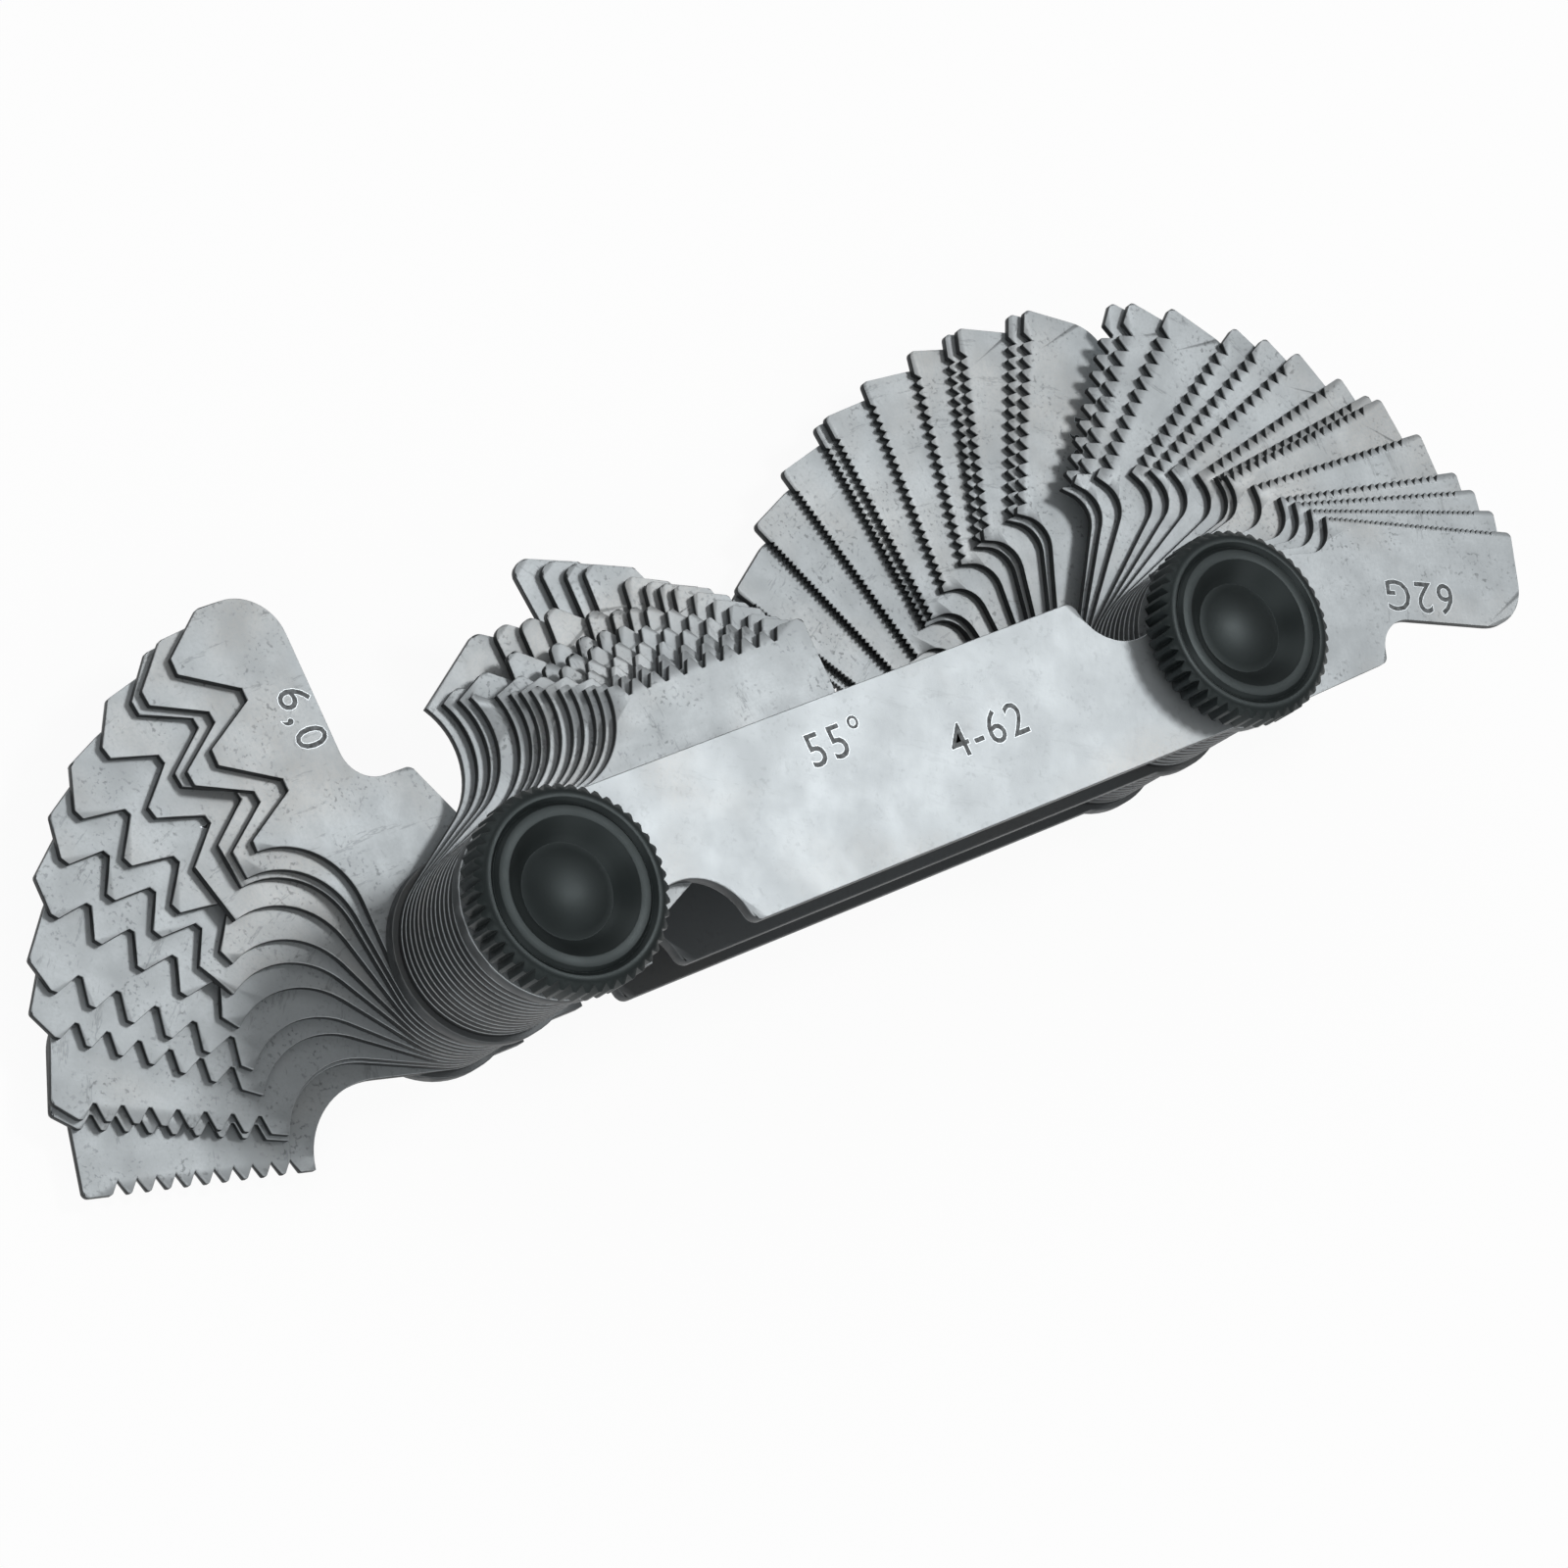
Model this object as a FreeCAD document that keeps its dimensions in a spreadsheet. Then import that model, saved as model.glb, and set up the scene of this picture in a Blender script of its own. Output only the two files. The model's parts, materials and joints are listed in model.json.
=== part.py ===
import FreeCAD, Part
import math
import os
import Sketcher
from FreeCAD import Placement, Rotation, Vector

# Combined screw pitch gauge, in millimetres.
#
# Three flat holder plates stand one above another on two pivot screws.  Between the front and
# middle plates lie the inch blades, between the middle and rear plates the metric ones, half of
# each set on either pivot.  A knurled knob on each screw clamps its whole stack.
#
# Frame: the rear plate lies on Z = 0, +Z points out of the front plate, X runs from the left
# pivot to the right one, and the origin is midway between them.  A blade at angle 0 points
# along +X with its teeth towards +Y.  Closed, the left blades are at 0 and the right ones at 180.

document = FreeCAD.newDocument("thread_pitch_gauge")

# ------------------------------------------------------------------ driving sizes

SIZES = [
    ("pivot_spacing", 54.0, "left pivot to right pivot"),
    ("strip_width", 11.3, "width of the holder plates between the pivots"),
    ("lug_swell", 0.45, "how far the plates' round ends stand out of the strip's edges"),
    ("plate_thickness", 1.0, "each of the three holder plates"),
    ("left_notch_radius", 3.9, "thumb notch beside the left pivot"),
    ("left_notch_reach", 8.4, "its centre, along the holder from the pivot"),
    ("right_notch_radius", 3.6, "thumb notch beside the right pivot"),
    ("right_notch_reach", 6.2, "its centre, along the holder from the pivot"),
    ("notch_overhang", 0.1, "how far the notch centres lie inside the edge"),
    ("notch_corner_radius", 0.8, "rounding where a notch meets the long edge"),
    ("blade_thickness", 0.54, "each blade"),
    ("blade_gap", 0.06, "clear space between neighbouring blades"),
    ("blade_length", 25.4, "pivot to the tip of a blade"),
    ("hub_radius", 5.75, "round end of a blade"),
    ("lug_slope", 23.3, "angle of a blade's thumb lug to its length, in degrees"),
    ("left_lug_reach", 12.0, "pivot to the far side of the thumb lug, left blades"),
    ("right_lug_reach", 13.6, "pivot to the far side of the thumb lug, right blades"),
    ("lug_corner_radius", 0.6, "corner of the thumb lug"),
    ("step_radius", 2.2, "hollow between the thumb lug and the blade's back"),
    ("tip_radius", 3.2, "rounded back corner of the tip"),
    ("tip_corner_radius", 0.4, "corner of the tip on the toothed side"),
    ("tip_land", 1.4, "plain length between the tip and the last tooth"),
    ("tooth_start", 10.3, "pivot to the first tooth"),
    ("left_crest_height", 10.9, "pivot axis to the tooth crests, left blades"),
    ("left_back_height", 3.0, "pivot axis to the blade's back, left blades"),
    ("right_crest_height", 9.6, "pivot axis to the tooth crests, right blades"),
    ("right_back_height", 2.7, "pivot axis to the blade's back, right blades"),
    ("left_neck_radius", 5.0, "hollow between the hub and the teeth, left blades"),
    ("right_neck_radius", 1.9, "hollow between the hub and the teeth, right blades"),
    ("left_neck_slope", 0.0, "rise of the neck from the hub, left blades, in degrees"),
    ("right_neck_slope", 7.0, "rise of the neck from the hub, right blades, in degrees"),
    ("shaft_radius", 2.0, "pivot screws"),
    ("running_clearance", 0.05, "radial, between a shaft and what turns on it"),
    ("screw_head_radius", 3.0, "countersunk head, flush with the rear plate"),
    ("slot_width", 0.8, "driver slot in the screw heads"),
    ("slot_depth", 0.5, "driver slot in the screw heads"),
    ("screw_engagement", 1.2, "length of the screw inside the knob"),
    ("knob_clearance", 0.05, "between the front plate and a knob"),
    ("knob_radius", 6.4, "over the knurling"),
    ("knob_face_radius", 5.85, "outer edge of the knob's front face"),
    ("knob_base_radius", 5.6, "knob where it meets the plate"),
    ("knob_base_height", 0.3, "straight part of the knob's base"),
    ("knob_height", 3.0, "plate to the knob's front face"),
    ("knurl_low", 0.7, "plate to the lower edge of the knurled band"),
    ("knurl_high", 2.6, "plate to the upper edge of the knurled band"),
    ("ring_groove_radius", 5.2, "middle of the groove in the knob's face"),
    ("ring_groove_depth", 0.3, "groove in the knob's face"),
    ("ring_groove_width", 0.5, "groove in the knob's face"),
    ("dish_rim_radius", 4.3, "edge of the dish in the knob's face"),
    ("dish_floor_radius", 3.0, "lowest ring of the dish"),
    ("dish_depth", 1.1, "knob's face to the lowest ring of the dish"),
    ("dome_height", 0.55, "middle of the dish above its lowest ring"),
    ("knurl_count", 48, "ridges round a knob"),
    ("knurl_depth", 0.4, "depth of the knurling"),
]

# Blades in the order of the stack, front plate first: (size, resting angle in degrees).
# Inch blades are named by threads per inch, metric blades by their pitch.
LEFT_INCH = [
    (18, 0.0), (16, 2.0), (14, 3.5), (13, 6.0), (12, 8.0), (11, 10.5), (10, 13.0),
    (9, 14.5), (8, 16.0), (7, 18.5), (6, 24.0), (5, 26.0), (4.5, 29.0), (4, 32.5),
]
LEFT_METRIC = [
    (6.0, 90.0), (5.5, 96.0), (5.0, 97.5), (4.5, 105.0), (4.0, 114.5), (3.5, 121.0),
    (3.0, 128.5), (2.5, 138.5), (2.0, 144.5), (1.75, 155.5), (1.5, 156.5), (1.25, 166.0),
]
RIGHT_INCH = [
    (62, -21.5), (60, -17.5), (48, -13.5), (40, -10.0), (36, -2.5), (32, 5.0), (30, 6.5),
    (28, 11.0), (26, 18.0), (25, 23.0), (24, 27.5), (22, 37.5), (20, 43.5), (19, 46.0),
]
RIGHT_METRIC = [
    (1.0, 58.5), (0.9, 60.5), (0.8, 69.0), (0.75, 70.5), (0.7, 76.5), (0.6, 85.5),
    (0.5, 93.5), (0.45, 95.0), (0.4, 103.5), (0.35, 112.5), (0.3, 122.5), (0.25, 124.5),
]

STACKS = [
    ("inch", "left", LEFT_INCH),
    ("inch", "right", RIGHT_INCH),
    ("metric", "left", LEFT_METRIC),
    ("metric", "right", RIGHT_METRIC),
]
INCH_LAYERS = len(LEFT_INCH)
METRIC_LAYERS = len(LEFT_METRIC)

INCH = 25.4
FLANK_ANGLES = {"inch": 55.0, "metric": 60.0}
CREST_SHARE = 0.18          # flat on each crest, as a share of the pitch
TOOTH_DEPTH_SHARE = 0.6     # crest to root, as a share of the pitch
SHARP_ROOT_BELOW = 1.3      # pitches finer than this have no flat at the root
CUT_TIP_FROM = 1.5          # coarser pitches have their tip corner cut off beyond the last crest
TIP_CUT_SHARE = 0.5         # depth of that cut, as a share of the pitch
ROUND_TEETH_FROM = 2.5      # coarser inch pitches show the rounding of their crests and roots
ROUNDING_SHARE = 0.13       # that rounding, as a share of the pitch
OVERCUT = 0.2               # how far a thread gap reaches past the crests, as a share of its depth
KNURL_GROOVE_SHARE = 0.75   # width of a knurl groove, as a share of its spacing
KNURL_OVERCUT = 0.2         # how far a knurl groove reaches past the band, as a share of its depth
SCREW_SLOT_ANGLES = {"left": 35.0, "right": -20.0}
TOUCHING = 1e-6             # closer points are one
TOUCHING_CORNER = 0.05      # an edge this near a corner of the outline stands on it

# Places worked out in the sheet's own terms
LEFT_PIVOT = "-sizes.pivot_spacing / 2"
RIGHT_PIVOT = "sizes.pivot_spacing / 2"
PIVOTS = {"left": LEFT_PIVOT, "right": RIGHT_PIVOT}
BORE_RADIUS = "sizes.shaft_radius + sizes.running_clearance"
LAYER = "(sizes.blade_thickness + sizes.blade_gap)"
MIDDLE_PLATE_FLOOR = "sizes.plate_thickness + %d * %s" % (METRIC_LAYERS, LAYER)
FRONT_PLATE_FLOOR = "2 * sizes.plate_thickness + %d * %s" % (METRIC_LAYERS + INCH_LAYERS, LAYER)
KNOB_FLOOR = FRONT_PLATE_FLOOR + " + sizes.plate_thickness + sizes.knob_clearance"
COMPARTMENT_TOPS = {"inch": FRONT_PLATE_FLOOR, "metric": MIDDLE_PLATE_FLOOR}


def make_sheet():
    sheet = document.addObject("Spreadsheet::Sheet", "sizes")
    for row, (name, number, note) in enumerate(SIZES, start=1):
        sheet.set("A%d" % row, note)
        sheet.set("B%d" % row, str(number))
        sheet.setAlias("B%d" % row, name)
    document.recompute()
    return sheet


sheet = make_sheet()


def size(name):
    """A driving size, read back from the sheet."""
    return float(getattr(sheet, name))


# ------------------------------------------------------------------ modelling helpers


def new_body(label):
    body = document.addObject("PartDesign::Body", label)
    body.Label = label
    return body


def origin_feature(body, role):
    return [item for item in body.Origin.OriginFeatures if item.Role == role][0]


def new_sketch(body, name, plane="XY_Plane"):
    sketch = body.newObject("Sketcher::SketchObject", name)
    sketch.AttachmentSupport = [(origin_feature(body, plane), "")]
    sketch.MapMode = "FlatFace"
    return sketch


def unit(vector):
    return Vector(vector).normalize()


def draw_outline(sketch, corners):
    """Closed outline through (x, y, radius) corners, each rounded by a tangent arc."""
    points = [Vector(x, y, 0) for x, y, radius in corners]
    radii = [radius for x, y, radius in corners]
    count = len(points)
    starts = []
    ends = []
    for index, corner in enumerate(points):
        back = unit(points[index - 1] - corner)
        ahead = unit(points[(index + 1) % count] - corner)
        half_angle = back.getAngle(ahead) / 2
        run = radii[index] / math.tan(half_angle)
        starts.append(corner + back * run)
        ends.append(corner + ahead * run)
        if radii[index] > 0:
            reach = radii[index] / math.sin(half_angle) - radii[index]
            crown = corner + unit(back + ahead) * reach
            sketch.addGeometry(Part.Arc(starts[index], crown, ends[index]))
    for index in range(count):
        following = starts[(index + 1) % count]
        if (following - ends[index]).Length > TOUCHING:
            sketch.addGeometry(Part.LineSegment(ends[index], following))


def draw_polygon(sketch, points):
    draw_outline(sketch, [(x, y, 0) for x, y in points])


def draw_circle(sketch, radius, x, y):
    """Circle whose radius and centre are expressions of the sheet."""
    index = sketch.addGeometry(Part.Circle(Vector(1, 1, 0), Vector(0, 0, 1), 1.0))
    dimensions = [
        (Sketcher.Constraint("Radius", index, 1.0), radius),
        (Sketcher.Constraint("DistanceX", -1, 1, index, 3, 1.0), x),
        (Sketcher.Constraint("DistanceY", -1, 1, index, 3, 1.0), y),
    ]
    for constraint, expression in dimensions:
        number = sketch.addConstraint(constraint)
        sketch.setExpression("Constraints[%d]" % number, expression)


def pad(body, sketch, length):
    feature = body.newObject("PartDesign::Pad", "pad")
    feature.Profile = sketch
    feature.setExpression("Length", length)
    document.recompute()
    return feature


def pocket(body, sketch):
    """Cuts the sketch right through, to both sides of its plane."""
    before = body.Shape.Volume
    feature = body.newObject("PartDesign::Pocket", "pocket")
    feature.Profile = sketch
    feature.Type = "ThroughAll"
    feature.Midplane = True
    document.recompute()
    if body.Shape.Volume >= before:
        raise ValueError("a pocket of %s cuts nothing" % body.Label)
    return feature


def place(item, side, height, angle=0.0):
    """Stands an item on its pivot, turned by an angle, at a height given as an expression."""
    item.Placement = Placement(Vector(0, 0, 0), Rotation(Vector(0, 0, 1), angle))
    item.setExpression(".Placement.Base.x", PIVOTS[side])
    item.setExpression(".Placement.Base.z", height)


# ------------------------------------------------------------------ holder plates


def draw_plate(sketch):
    """Straight strip that ends in a round lug about each pivot."""
    half_spacing = size("pivot_spacing") / 2
    half_width = size("strip_width") / 2
    lug = half_width + size("lug_swell")
    inset = math.sqrt(lug ** 2 - half_width ** 2)
    for sign in (-1, 1):
        pivot = sign * half_spacing
        near = pivot - sign * inset
        top = Vector(near, half_width, 0)
        bottom = Vector(near, -half_width, 0)
        sketch.addGeometry(Part.Arc(top, Vector(pivot + sign * lug, 0, 0), bottom))
    for height in (half_width, -half_width):
        start = Vector(inset - half_spacing, height, 0)
        end = Vector(half_spacing - inset, height, 0)
        sketch.addGeometry(Part.LineSegment(start, end))


def notch_corner(side):
    """Where a thumb notch runs out into the plate's long edge."""
    sign = -1 if side == "left" else 1
    overhang = size("notch_overhang")
    run = math.sqrt(size(side + "_notch_radius") ** 2 - overhang ** 2)
    reach = size("pivot_spacing") / 2 - size(side + "_notch_reach") - run
    return Vector(sign * reach, sign * size("strip_width") / 2, 0)


def upright_edges(shape, wanted):
    """Names of the edges along Z whose place in the outline is wanted."""
    names = []
    for number, edge in enumerate(shape.Edges, start=1):
        upright = edge.BoundBox.ZLength > edge.Length / 2
        if upright and wanted(edge.CenterOfMass):
            names.append("Edge%d" % number)
    return names


def fillet(body, base, wanted, radius):
    feature = body.newObject("PartDesign::Fillet", "rounding")
    feature.Base = (base, upright_edges(base.Shape, wanted))
    feature.setExpression("Radius", radius)
    document.recompute()
    return feature


def make_plate(label, height, seats=False):
    body = new_body(label)
    outline = new_sketch(body, "outline")
    draw_plate(outline)
    pad(body, outline, "sizes.plate_thickness")

    notches = new_sketch(body, "thumb_notches")
    draw_circle(notches, "sizes.left_notch_radius", LEFT_PIVOT + " + sizes.left_notch_reach",
                "sizes.notch_overhang - sizes.strip_width / 2")
    draw_circle(notches, "sizes.right_notch_radius", RIGHT_PIVOT + " - sizes.right_notch_reach",
                "sizes.strip_width / 2 - sizes.notch_overhang")
    notched = pocket(body, notches)

    corners = [notch_corner(side) for side in PIVOTS]

    def at_corner(point):
        return any(math.hypot(point.x - corner.x, point.y - corner.y) < TOUCHING_CORNER
                   for corner in corners)

    fillet(body, notched, at_corner, "sizes.notch_corner_radius")

    holes = new_sketch(body, "pivot_holes")
    for pivot in PIVOTS.values():
        draw_circle(holes, BORE_RADIUS, pivot, "0 mm")
    pocket(body, holes)
    if seats:
        for side in PIVOTS:
            cut_countersink(body, side)
    body.setExpression(".Placement.Base.z", height)
    return body


def cut_countersink(body, side):
    """Conical seat for a flush screw head, through the plate's whole thickness."""
    seat = body.newObject("PartDesign::SubtractiveCone", side + "_seat")
    seat.setExpression("Radius1", "sizes.screw_head_radius + sizes.running_clearance")
    seat.setExpression("Radius2", BORE_RADIUS)
    seat.setExpression("Height", "sizes.plate_thickness")
    seat.setExpression(".Placement.Base.x", PIVOTS[side])
    document.recompute()


# ------------------------------------------------------------------ pivot screws and knobs


def make_screw(side):
    """Countersunk slotted screw that carries every blade of its pivot."""
    head = document.addObject("Part::Cone", side + "_screw_head")
    head.setExpression("Radius1", "sizes.screw_head_radius")
    head.setExpression("Radius2", "sizes.shaft_radius")
    head.setExpression("Height", "sizes.plate_thickness")
    shaft = document.addObject("Part::Cylinder", side + "_screw_shaft")
    shaft.setExpression("Radius", "sizes.shaft_radius")
    shaft.setExpression("Height", KNOB_FLOOR + " + sizes.screw_engagement")
    solid = document.addObject("Part::Fuse", side + "_screw_solid")
    solid.Base = head
    solid.Tool = shaft
    slot = document.addObject("Part::Box", side + "_screw_slot")
    slot.setExpression("Length", "4 * sizes.screw_head_radius")
    slot.setExpression("Width", "sizes.slot_width")
    slot.setExpression("Height", "sizes.slot_depth")
    slot.setExpression(".Placement.Base.x", "-2 * sizes.screw_head_radius")
    slot.setExpression(".Placement.Base.y", "-sizes.slot_width / 2")
    screw = document.addObject("Part::Cut", side + "_pivot_screw")
    screw.Label = side + "_pivot_screw"
    screw.Base = solid
    screw.Tool = slot
    place(screw, side, "0 mm", SCREW_SLOT_ANGLES[side])
    return screw


def knob_profile():
    """Half section of a knob above the plate: (radius, height) from the axis outwards."""
    bore = size("shaft_radius") + size("running_clearance")
    bore_top = size("screw_engagement") + size("knob_clearance")
    face = size("knob_height")
    floor = face - size("dish_depth")
    groove_half = size("ring_groove_width") / 2
    groove = size("ring_groove_radius")
    groove_floor = face - size("ring_groove_depth")
    return [
        (0, bore_top),
        (bore, bore_top),
        (bore, 0),
        (size("knob_base_radius"), 0),
        (size("knob_base_radius"), size("knob_base_height")),
        (size("knob_radius"), size("knurl_low")),
        (size("knob_radius"), size("knurl_high")),
        (size("knob_face_radius"), face),
        (groove + groove_half, face),
        (groove, groove_floor),
        (groove - groove_half, face),
        (size("dish_rim_radius"), face),
        (size("dish_floor_radius"), floor),
    ]


def make_knob(side):
    body = new_body(side + "_knob")
    section = new_sketch(body, "section", "XZ_Plane")
    points = [Vector(radius, height, 0) for radius, height in knob_profile()]
    centre = Vector(0, points[-1].y + size("dome_height"), 0)
    for start, end in zip(points, points[1:]):
        sketch_line(section, start, end)
    dome = (points[-1].x ** 2 + size("dome_height") ** 2) / (2 * size("dome_height"))
    middle_x = points[-1].x / 2
    middle = Vector(middle_x, centre.y - dome + math.sqrt(dome ** 2 - middle_x ** 2), 0)
    section.addGeometry(Part.Arc(points[-1], middle, centre))
    sketch_line(section, centre, points[0])
    turned = body.newObject("PartDesign::Revolution", "turned")
    turned.Profile = section
    turned.ReferenceAxis = (section, ["V_Axis"])
    turned.Angle = 360
    document.recompute()

    groove = new_sketch(body, "knurl_groove")
    outer = size("knob_radius")
    depth = size("knurl_depth")
    half_width = math.pi * outer / size("knurl_count") * KNURL_GROOVE_SHARE
    flare = half_width * (1 + KNURL_OVERCUT)
    tip = outer + depth * KNURL_OVERCUT
    draw_polygon(groove, [(outer - depth, 0), (tip, flare), (tip, -flare)])
    cut = pocket(body, groove)
    ridges = body.newObject("PartDesign::PolarPattern", "knurl")
    ridges.Originals = [cut]
    ridges.Axis = (origin_feature(body, "Z_Axis"), [""])
    ridges.Angle = 360
    ridges.setExpression("Occurrences", "sizes.knurl_count")
    body.Tip = ridges
    document.recompute()
    place(body, side, KNOB_FLOOR)
    return body


def sketch_line(sketch, start, end):
    sketch.addGeometry(Part.LineSegment(start, end))


# ------------------------------------------------------------------ blades


def last_crest(pitch):
    """Middle of the crest nearest to the tip."""
    return size("blade_length") - size("tip_land") - pitch / 4


def draw_blank(sketch, side, pitch):
    """Blade without teeth: round hub, sloping thumb lug, stepped back, tip, tooth land and neck."""
    hub = size("hub_radius")
    slope = math.radians(size("lug_slope"))
    rise = math.radians(size(side + "_neck_slope"))
    length = size("blade_length")
    crest = size(side + "_crest_height")
    back = size(side + "_back_height")
    lug = size(side + "_lug_reach")
    start = size("tooth_start")
    neck = hub / math.cos(rise) + start * math.tan(rise)
    tip_cut = TIP_CUT_SHARE * pitch if pitch >= CUT_TIP_FROM else 0
    corners = [
        (-hub, hub / math.cos(rise) - hub * math.tan(rise), hub),
        (-hub, -hub / math.cos(slope) - hub * math.tan(slope), hub),
        (lug, lug * math.tan(slope) - hub / math.cos(slope), size("lug_corner_radius")),
        (lug, back, size("step_radius")),
        (length, back, size("tip_radius")),
        (length, crest - tip_cut, size("tip_corner_radius")),
        (start, crest, 0),
        (start, neck, min(size(side + "_neck_radius"), crest - neck)),
    ]
    if tip_cut > 0:
        corners.insert(6, (last_crest(pitch) + CREST_SHARE * pitch / 2, crest, 0))
    draw_outline(sketch, corners)


def cut_teeth(body, pitch, standard, crest_height):
    """The thread gap next to the last crest, repeated towards the hub."""
    tangent = math.tan(math.radians(FLANK_ANGLES[standard]) / 2)
    half_gap = (1 - CREST_SHARE) * pitch / 2
    if pitch < SHARP_ROOT_BELOW:
        depth = half_gap / tangent
    else:
        depth = TOOTH_DEPTH_SHARE * pitch
    half_root = half_gap - depth * tangent
    over = depth * OVERCUT
    half_top = half_gap + over * tangent
    middle = last_crest(pitch) - pitch / 2
    top = crest_height + over
    root = crest_height - depth
    points = [(middle - half_top, top), (middle + half_top, top), (middle + half_root, root)]
    if half_root > TOUCHING:
        points.append((middle - half_root, root))
    sketch = new_sketch(body, "thread_gap")
    draw_polygon(sketch, points)
    gap = pocket(body, sketch)
    count = int((middle - half_gap - size("tooth_start")) / pitch) + 1
    teeth = body.newObject("PartDesign::LinearPattern", "teeth")
    teeth.Originals = [gap]
    teeth.Direction = (origin_feature(body, "X_Axis"), [""])
    teeth.Reversed = True
    teeth.Length = (count - 1) * pitch
    teeth.Occurrences = count
    body.Tip = teeth
    document.recompute()
    if standard == "inch" and pitch >= ROUND_TEETH_FROM:
        round_teeth(body, teeth, pitch, (crest_height, root))


def round_teeth(body, teeth, pitch, heights):
    """Rounds the crests and roots, as the inch thread form has them."""
    start = size("tooth_start") + ROUNDING_SHARE * pitch
    end = last_crest(pitch) + pitch / 2

    def on_tooth(point):
        near = min(abs(point.y - height) for height in heights)
        return near < TOUCHING and start < point.x < end

    fillet(body, teeth, on_tooth, "%f mm" % (ROUNDING_SHARE * pitch))


def make_blade(standard, side, layer, number, angle):
    """One blade, its front face at its layer's place below the front of its compartment."""
    label = "blade_%s_%s" % (standard, str(number).replace(".", "_"))
    pitch = INCH / number if standard == "inch" else number
    body = new_body(label)
    blank = new_sketch(body, "blank")
    draw_blank(blank, side, pitch)
    pad(body, blank, "sizes.blade_thickness")
    hole = new_sketch(body, "pivot_hole")
    draw_circle(hole, BORE_RADIUS, "0 mm", "0 mm")
    pocket(body, hole)
    cut_teeth(body, pitch, standard, size(side + "_crest_height"))
    height = "%s - sizes.blade_gap / 2 - sizes.blade_thickness - %d * %s"
    place(body, side, height % (COMPARTMENT_TOPS[standard], layer, LAYER), angle)
    return body


# ------------------------------------------------------------------ whole gauge

pieces = [
    make_plate("rear_plate", "0 mm", seats=True),
    make_plate("middle_plate", MIDDLE_PLATE_FLOOR),
    make_plate("front_plate", FRONT_PLATE_FLOOR),
]
for side in PIVOTS:
    pieces.append(make_screw(side))
    pieces.append(make_knob(side))
for standard, side, stack in STACKS:
    for layer, (number, angle) in enumerate(stack):
        pieces.append(make_blade(standard, side, layer, number, angle))

document.recompute()
for item in document.Objects:
    if "Invalid" in item.State or "Error" in item.State:
        raise ValueError("%s failed: %s" % (item.Label, item.State))
for piece in pieces:
    if piece.Shape.isNull() or not piece.Shape.isValid():
        raise ValueError("%s has no valid shape" % piece.Label)

os.makedirs("parts", exist_ok=True)
for piece in pieces:
    piece.Shape.exportStep("parts/%s.step" % piece.Label)
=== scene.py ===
import json
import math

import bpy
from mathutils import Matrix, Vector


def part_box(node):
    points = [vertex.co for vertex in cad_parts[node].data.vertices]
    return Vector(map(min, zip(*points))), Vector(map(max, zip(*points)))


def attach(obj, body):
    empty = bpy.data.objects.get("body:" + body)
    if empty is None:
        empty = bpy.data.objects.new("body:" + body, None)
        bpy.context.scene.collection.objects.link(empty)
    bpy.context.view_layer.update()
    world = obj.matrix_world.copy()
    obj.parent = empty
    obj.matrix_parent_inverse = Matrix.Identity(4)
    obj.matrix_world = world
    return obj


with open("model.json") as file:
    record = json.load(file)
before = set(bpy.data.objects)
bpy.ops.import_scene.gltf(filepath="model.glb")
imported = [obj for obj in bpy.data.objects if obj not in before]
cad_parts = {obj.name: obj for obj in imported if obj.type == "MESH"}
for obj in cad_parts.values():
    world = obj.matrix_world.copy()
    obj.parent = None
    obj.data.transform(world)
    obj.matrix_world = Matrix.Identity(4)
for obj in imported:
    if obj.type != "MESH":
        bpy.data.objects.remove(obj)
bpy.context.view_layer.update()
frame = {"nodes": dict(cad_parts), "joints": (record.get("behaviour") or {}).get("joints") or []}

NODES = frame["nodes"]
MM = 0.001

PLATES = ("front_plate", "middle_plate", "rear_plate")
SCREWS = ("left_pivot_screw", "right_pivot_screw")
KNOBS = ("left_knob", "right_knob")
BLADES = sorted(name for name in NODES if name.startswith("blade_"))

# ------------------------------------------------------------------ places read from the frame


def middle_of(node):
    low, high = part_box(node)
    return (Vector(low) + Vector(high)) / 2


PIVOTS = {side: middle_of(side + "_pivot_screw") for side in ("left", "right")}


def rest_angles():
    """Angle of each blade's toothed edge to +X, in radians: closed is its hinge's lower limit."""
    angles = {}
    for joint in frame["joints"]:
        if joint["child"] not in BLADES:
            continue
        closed = 0.0 if joint["pos_m"][0] < 0 else math.pi
        angles[joint["child"]] = closed - math.radians(joint["range_deg"][0])
    return angles


ANGLES = rest_angles()

# ------------------------------------------------------------------ material helpers


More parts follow.
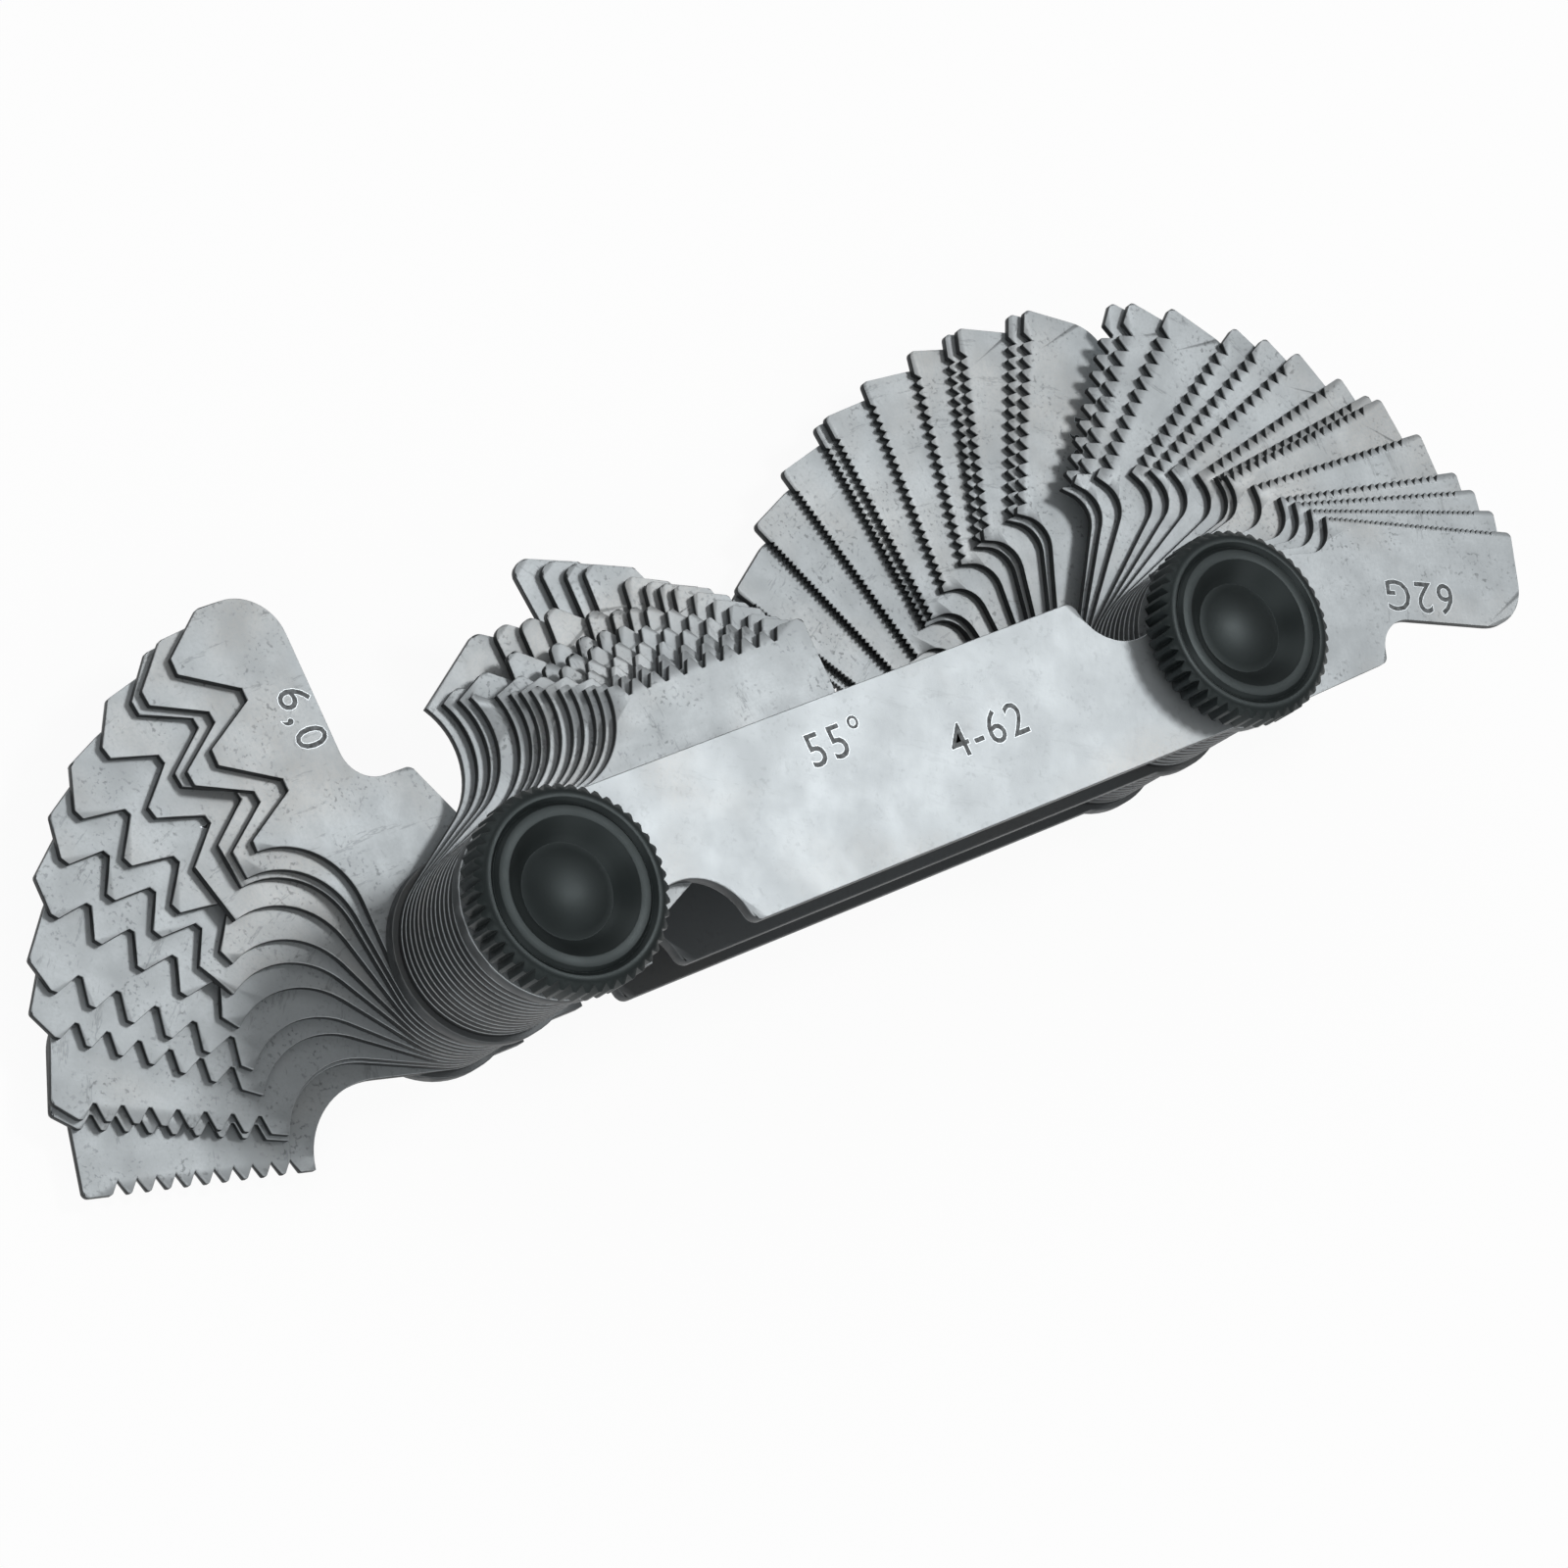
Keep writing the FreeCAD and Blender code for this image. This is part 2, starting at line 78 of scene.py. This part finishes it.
class Nodes:
    """A new node material with short ways to add and wire nodes."""

    def __init__(self, name):
        self.material = bpy.data.materials.new(name)
        self.material.use_nodes = True
        self.tree = self.material.node_tree
        self.shader = self.tree.nodes["Principled BSDF"]

    def add(self, kind, inputs=None, **settings):
        node = self.tree.nodes.new(kind)
        for name, value in settings.items():
            setattr(node, name, value)
        for name, value in (inputs or {}).items():
            self.set(node, name, value)
        return node

    def set(self, node, name, value):
        if isinstance(value, bpy.types.NodeSocket):
            self.tree.links.new(value, node.inputs[name])
        else:
            node.inputs[name].default_value = value

    def surface(self, **inputs):
        for name, value in inputs.items():
            self.set(self.shader, name.replace("_", " "), value)

    def noise(self, vector, scale, detail=3.0, roughness=0.5):
        inputs = {"Vector": vector, "Scale": scale, "Detail": detail, "Roughness": roughness}
        return self.add("ShaderNodeTexNoise", inputs).outputs["Fac"]

    def stretch(self, vector, scale):
        return self.add("ShaderNodeMapping", {"Vector": vector, "Scale": scale}).outputs["Vector"]

    def between(self, value, low, high, to_low=0.0, to_high=1.0):
        """Maps low to high onto to_low to to_high, clamped."""
        inputs = {"Value": value, "From Min": low, "From Max": high, "To Min": to_low, "To Max": to_high}
        return self.add("ShaderNodeMapRange", inputs).outputs["Result"]

    def math(self, operation, first, second):
        node = self.add("ShaderNodeMath", operation=operation)
        self.set(node, 0, first)
        self.set(node, 1, second)
        return node.outputs["Value"]

    def share(self, first, second):
        return self.math("MULTIPLY", first, second)

    def mix(self, factor, first, second):
        node = self.add("ShaderNodeMix", data_type="RGBA")
        self.set(node, 0, factor)
        self.set(node, 6, first)
        self.set(node, 7, second)
        return node.outputs[2]

    def bump(self, height, strength, distance, normal=None):
        inputs = {"Height": height, "Strength": strength, "Distance": distance}
        if normal is not None:
            inputs["Normal"] = normal
        return self.add("ShaderNodeBump", inputs).outputs["Normal"]


def grey(level):
    return (level, level, level, 1.0)


def tone(level):
    """The slightly blue grey of bright steel."""
    return (level * 0.90, level * 0.965, level, 1.0)


def warm_tone(level):
    """The faint straw tint of handled steel."""
    return (level, level * 0.965, level * 0.91, 1.0)


# Noises of the steel: scale (per metre), detail and roughness
CLOUDS = (260.0, 5.0, 0.62)     # slow changes of tone and gloss
STAINS = (90.0, 3.0, 0.5)       # straw-coloured patches
FROST = (5200.0, 2.0, 0.6)      # fine etched texture
PITS = (3300.0, 2.0, 0.5)       # single dark specks
CLUSTERS = (380.0, 3.0, 0.7)    # where the specks lie

# Stretched noises: scale (per metre) along the grain, across it and through the sheet
GRAIN = (350.0, 4200.0, 350.0)
SCRATCHES = (1100.0, 190.0, 300.0)

PIT_LEVEL = 0.06
SCRATCH_LEVEL = 0.15
STEEL_METALLIC = 0.85


def steel(name, top, under, edge, along=0.0, specks=0.45, cloudy=0.88):
    """Cool rolled steel: cloudy tone, fine grain, clustered dark specks and scratches on its
    faces, and painted shade on its edges, which are coloured dark for the shade on them. top,
    under and edge are the grey levels of the upper face, the lower face and the edges. along is
    the direction of the grain, specks the strength of specks and scratches, and cloudy the
    darkest share of a face's level."""
    nodes = Nodes(name)
    coordinates = nodes.add("ShaderNodeTexCoord")
    turn = {"Vector": coordinates.outputs["Object"], "Angle": -along}
    place = nodes.add("ShaderNodeVectorRotate", turn, rotation_type="Z_AXIS").outputs["Vector"]
    normal = nodes.add("ShaderNodeSeparateXYZ", {"Vector": coordinates.outputs["Normal"]}).outputs["Z"]
    is_face = nodes.between(nodes.math("ABSOLUTE", normal, 0.0), 0.30, 0.60)
    is_upper = nodes.math("GREATER_THAN", normal, 0.0)

    clouds = nodes.noise(place, *CLOUDS)
    stains = nodes.noise(place, *STAINS)
    grain = nodes.noise(nodes.stretch(place, GRAIN), 1.0, 3.0)
    frost = nodes.noise(place, *FROST)
    pits = nodes.noise(place, *PITS)
    clusters = nodes.noise(place, *CLUSTERS)
    scratches = nodes.noise(nodes.stretch(place, SCRATCHES), 1.0, 4.0, 0.8)

    # a dark top or under level is painted shade on a face inside the holder
    clean = nodes.mix(is_upper, tone(under), tone(top))
    worn = nodes.mix(is_upper, tone(under * cloudy), tone(top * cloudy))
    face = nodes.mix(nodes.between(clouds, 0.34, 0.60), worn, clean)
    warm = nodes.mix(is_upper, warm_tone(under), warm_tone(top))
    face = nodes.mix(nodes.share(nodes.between(stains, 0.50, 0.66), 0.4), face, warm)
    face = nodes.mix(nodes.share(nodes.between(grain, 0.45, 0.75), 0.4), face, worn)
    face = nodes.mix(nodes.share(nodes.between(frost, 0.45, 0.65), 0.6), face, worn)
    pitted = nodes.share(nodes.between(pits, 0.56, 0.66), nodes.between(clusters, 0.46, 0.62))
    face = nodes.mix(nodes.share(pitted, specks), face, tone(PIT_LEVEL))
    # a scratch is the narrow band where the noise passes one level
    scratched = nodes.share(nodes.between(scratches, 0.60, 0.65), nodes.between(scratches, 0.70, 0.65))
    face = nodes.mix(nodes.share(scratched, 0.8 * specks), face, tone(SCRATCH_LEVEL))
    # painted shade: the edges are coloured dark for the shade on them, with a slow random change of tone
    painted_edge_shade = nodes.mix(nodes.between(clouds, 0.3, 0.7), tone(edge * 0.6), tone(edge * 1.2))
    colour = nodes.mix(is_face, painted_edge_shade, face)

    roughness = nodes.between(clouds, 0.3, 0.7, 0.56, 0.49)
    bumps = nodes.bump(pits, 0.2, 0.02 * MM)
    bumps = nodes.bump(scratches, 0.2, 0.03 * MM, bumps)
    bumps = nodes.bump(grain, 0.10, 0.01 * MM, bumps)
    nodes.surface(Base_Color=colour, Roughness=roughness, Normal=bumps, Metallic=STEEL_METALLIC)
    return nodes.material


PLASTIC_DARK = (0.004, 0.006, 0.006, 1.0)
PLASTIC_LIGHT = (0.007, 0.010, 0.010, 1.0)
PLASTIC_SHEEN = (0.85, 0.98, 1.0, 1.0)


def black_plastic():
    """Moulded satin plastic with a very fine grain."""
    nodes = Nodes("knob_plastic")
    place = nodes.add("ShaderNodeTexCoord").outputs["Object"]
    grain = nodes.noise(place, 4200.0, 2.0)
    clouds = nodes.noise(place, 300.0, 3.0)
    colour = nodes.mix(nodes.between(clouds, 0.35, 0.65), PLASTIC_DARK, PLASTIC_LIGHT)
    roughness = nodes.between(clouds, 0.3, 0.7, 0.38, 0.46)
    bumps = nodes.bump(grain, 0.15, 0.02 * MM)
    nodes.surface(Base_Color=colour, Roughness=roughness, Normal=bumps, Specular_IOR_Level=0.4,
                  Specular_Tint=PLASTIC_SHEEN)
    return nodes.material


def dress(name, material):
    piece = NODES[name]
    if not piece.material_slots:
        piece.data.materials.append(material)
    for slot in piece.material_slots:
        slot.material = material


def pitch_of(blade):
    """A blade's pitch in millimetres, from its name."""
    standard, number = blade.split("_", 2)[1:]
    number = float(number.replace("_", "."))
    return 25.4 / number if standard == "inch" else number


SAME_POINT = 0.001 * MM
SHARP_ANGLE = math.radians(40)


def round_edges(name, width, segments=1):
    """Breaks the sharp edges a little, so that they catch the light."""
    modifiers = NODES[name].modifiers
    modifiers.new("weld", "WELD").merge_threshold = SAME_POINT
    bevel = modifiers.new("edges", "BEVEL")
    bevel.width = width
    bevel.segments = segments
    bevel.limit_method = "ANGLE"
    bevel.angle_limit = SHARP_ANGLE
    bevel.use_clamp_overlap = name in KNOBS
    modifiers.new("normals", "WEIGHTED_NORMAL")


# Grey levels
PLATE = 0.56
BLADE = 0.48
INSIDE_SHADE = 0.15           # faces inside the holder, painted dark as the shade between the plates
# dark levels of the edges, painted shade on the sides of the plates and blades
FRONT_EDGE_SHADE = 0.10
INNER_EDGE_SHADE = 0.08
BLADE_EDGE_SHADE = 0.045
SCREW = 0.5
# the screws' edges are also coloured darker as painted shade
SCREW_EDGE_SHADE = 0.3

PLATE_GRAIN = math.radians(60)
PLATE_SPECKS = 0.12
PLATE_CLOUDY = 0.975

KNOB_BREAK = 0.10 * MM
PLATE_BREAK = 0.06 * MM
BLADE_BREAK = 0.045 * MM
FINE_PITCH = 1.2        # millimetres; the edges of finer teeth are broken less


def plate_steel(name, top, under, edge):
    dress(name, steel(name + "_steel", top, under, edge, PLATE_GRAIN, PLATE_SPECKS, PLATE_CLOUDY))


plate_steel("front_plate", PLATE, PLATE, FRONT_EDGE_SHADE)
# the middle plate and the upper face of the rear plate take painted shade from inside the holder
plate_steel("middle_plate", INSIDE_SHADE, INSIDE_SHADE, INNER_EDGE_SHADE)
plate_steel("rear_plate", INSIDE_SHADE, PLATE, INNER_EDGE_SHADE)
screw_steel = steel("screw_steel", SCREW, SCREW, SCREW_EDGE_SHADE)
for name in SCREWS:
    dress(name, screw_steel)
knob_plastic = black_plastic()
for name in KNOBS:
    dress(name, knob_plastic)
    round_edges(name, KNOB_BREAK, 2)
for name in BLADES:
    dress(name, steel(name + "_steel", BLADE, BLADE, BLADE_EDGE_SHADE, ANGLES[name]))
    round_edges(name, BLADE_BREAK * min(1.0, pitch_of(name) / FINE_PITCH))
for name in PLATES + SCREWS:
    round_edges(name, PLATE_BREAK)

# ------------------------------------------------------------------ stamped marks

MARK_HEIGHT = 2.15 * MM
MARK_PLACE = Vector((17.0, 4.5, 0)) * MM      # in a blade's own frame: pivot at 0, tip along +X
MARK_PROUD = 0.006 * MM
MARK_NARROWING = 0.97
FONT_SIZE = 1.45 * MARK_HEIGHT                # of the built-in font, for figures MARK_HEIGHT high
LETTER_SPACING = 1.15


def mark_material(name, low, high, roughness):
    """Steel of a stamped mark, from level low to level high."""
    nodes = Nodes(name)
    place = nodes.add("ShaderNodeTexCoord").outputs["Object"]
    wear = nodes.noise(place, 2500.0, 3.0)
    colour = nodes.mix(nodes.between(wear, 0.35, 0.65), tone(low), tone(high))
    nodes.surface(Base_Color=colour, Roughness=roughness, Metallic=0.8)
    return nodes.material


MARK_LAYERS = (
    # part of a stamped stroke, its material, how much it widens the stroke, how proud it is
    # painted highlight: a light, widened layer round each stroke stands in for its lit rim
    ("burr", mark_material("stamped_burr", 0.62, 0.80, 0.42), 0.055 * MM, 0.5 * MARK_PROUD),
    ("stroke", mark_material("stamped_stroke", 0.06, 0.15, 0.50), 0.012 * MM, MARK_PROUD),
)


def make_mark(name, words, place, turn, body):
    """Stamped figures on a face: dark strokes with a thin light rim round them, a painted
    highlight of the lit stamped edges. place is their middle, and turn their direction of reading."""
    for layer, material, widening, proud in MARK_LAYERS:
        curve = bpy.data.curves.new(name + "_" + layer, "FONT")
        curve.body = words
        curve.size = FONT_SIZE
        curve.align_x = "CENTER"
        curve.align_y = "CENTER"
        curve.space_character = LETTER_SPACING
        curve.offset = widening
        curve.extrude = proud / 2
        curve.resolution_u = 3
        curve.materials.append(material)
        mark = bpy.data.objects.new(name + "_" + layer, curve)
        lift = Matrix.Translation(place + Vector((0, 0, proud / 2)))
        narrowing = Matrix.Diagonal((MARK_NARROWING, 1, 1, 1))
        mark.matrix_world = lift @ Matrix.Rotation(turn, 4, "Z") @ narrowing
        bpy.context.collection.objects.link(mark)
        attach(mark, body)


def blade_words(name):
    """Threads per inch with a G, or the pitch in millimetres with a decimal comma."""
    standard, number = name.split("_", 2)[1:]
    ending = "G" if standard == "inch" else ""
    return number.replace("_", ",") + ending


for name in BLADES:
    low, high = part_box(name)
    pivot = PIVOTS["left" if low[0] + high[0] < 0 else "right"]
    place = Matrix.Rotation(ANGLES[name], 4, "Z") @ MARK_PLACE
    place = Vector((pivot.x + place.x, pivot.y + place.y, high[2]))
    make_mark("mark_" + name, blade_words(name), place, ANGLES[name] + math.pi, name)

FRONT_FACE = Vector((0, 0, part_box("front_plate")[1][2]))
ANGLE_PLACE = Vector((-3.9, 2.6, 0)) * MM
RANGE_PLACE = Vector((6.9, -0.1, 0)) * MM
make_mark("mark_angle", "55\u00b0", ANGLE_PLACE + FRONT_FACE, 0.0, "holder")
make_mark("mark_range", "4-62", RANGE_PLACE + FRONT_FACE, 0.0, "holder")

# ------------------------------------------------------------------ floor, light and camera


FLOOR_COLOUR = 0.9
FLOOR_WHITENESS = 0.93      # the rest of what the camera sees of the floor is its own shading
FLOOR_REACH = 3.0
FLOOR_DROP = 0.2 * MM       # keeps the floor from flickering through the resting face
WORLD_STRENGTH = 0.34


def white_material():
    """Pale floor that the camera sees as white, and that still takes the object's shadow."""
    nodes = Nodes("floor_white")
    rays = nodes.add("ShaderNodeLightPath")
    seen = nodes.math("MAXIMUM", rays.outputs["Is Camera Ray"], rays.outputs["Is Glossy Ray"])
    seen = nodes.math("MAXIMUM", seen, rays.outputs["Is Transmission Ray"])
    diffuse = nodes.add("ShaderNodeBsdfDiffuse", {"Color": grey(FLOOR_COLOUR)}).outputs["BSDF"]
    glow = nodes.add("ShaderNodeEmission", {"Color": grey(1.0), "Strength": 1.0}).outputs["Emission"]
    mixed = nodes.add("ShaderNodeMixShader", {"Fac": nodes.share(seen, FLOOR_WHITENESS)})
    nodes.set(mixed, 1, diffuse)
    nodes.set(mixed, 2, glow)
    nodes.set(nodes.tree.nodes["Material Output"], "Surface", mixed.outputs["Shader"])
    return nodes.material


def make_floor():
    mesh = bpy.data.meshes.new("floor")
    signs = ((-1, -1), (1, -1), (1, 1), (-1, 1))
    corners = [(x * FLOOR_REACH, y * FLOOR_REACH, -FLOOR_DROP) for x, y in signs]
    mesh.from_pydata(corners, [], [(0, 1, 2, 3)])
    mesh.materials.append(white_material())
    floor = bpy.data.objects.new("floor", mesh)
    bpy.context.collection.objects.link(floor)


def make_world():
    world = bpy.data.worlds.new("studio")
    bpy.context.scene.world = world
    world.use_nodes = True
    background = world.node_tree.nodes["Background"]
    background.inputs["Color"].default_value = grey(1.0)
    background.inputs["Strength"].default_value = WORLD_STRENGTH


# Name, place, side and power in watts of each square lamp. The key light stands where the flat
# faces mirror it into the camera; the others lift the shadows and light the other views.
LAMPS = (
    ("key", (0.29, 0.045, 0.55), 0.12, 0.95),
    ("fill", (-0.36, -0.16, 0.50), 0.40, 0.70),
    ("front", (0.0, -0.50, 0.42), 0.40, 0.55),
    ("back", (-0.05, 0.52, 0.42), 0.40, 0.55),
)
LAMPS_AIM = Vector((0, 0, 0.01))


def area_light(name, place, side, power):
    lamp = bpy.data.lights.new(name, "AREA")
    lamp.shape = "SQUARE"
    lamp.size = side
    lamp.energy = power
    light = bpy.data.objects.new(name, lamp)
    light.location = place
    light.rotation_euler = (LAMPS_AIM - Vector(place)).to_track_quat("-Z", "Y").to_euler()
    bpy.context.collection.objects.link(light)


# The camera that matches the photograph's view, and its three directions
CAMERA_PLACE = Vector((-186.357, -28.499, 283.826)) * MM
CAMERA_RIGHT = Vector((0.7753864, -0.4180494, 0.4732976))
CAMERA_UP = Vector((0.3020300, 0.9037210, 0.3034243))
CAMERA_BACK = Vector((-0.5545753, -0.0923210, 0.8269964))


def make_camera():
    data = bpy.data.cameras.new("camera")
    data.sensor_width = 36.0
    data.lens = 121.14
    data.shift_x = -0.0031
    data.shift_y = 0.0029
    data.clip_start = 0.01
    data.clip_end = 20.0
    camera = bpy.data.objects.new("camera", data)
    turn = Matrix((CAMERA_RIGHT, CAMERA_UP, CAMERA_BACK)).transposed()
    camera.matrix_world = Matrix.Translation(CAMERA_PLACE) @ turn.to_4x4()
    bpy.context.collection.objects.link(camera)
    bpy.context.scene.camera = camera


make_floor()
make_world()
for lamp in LAMPS:
    area_light(*lamp)
make_camera()
bpy.context.scene.view_settings.view_transform = "Standard"
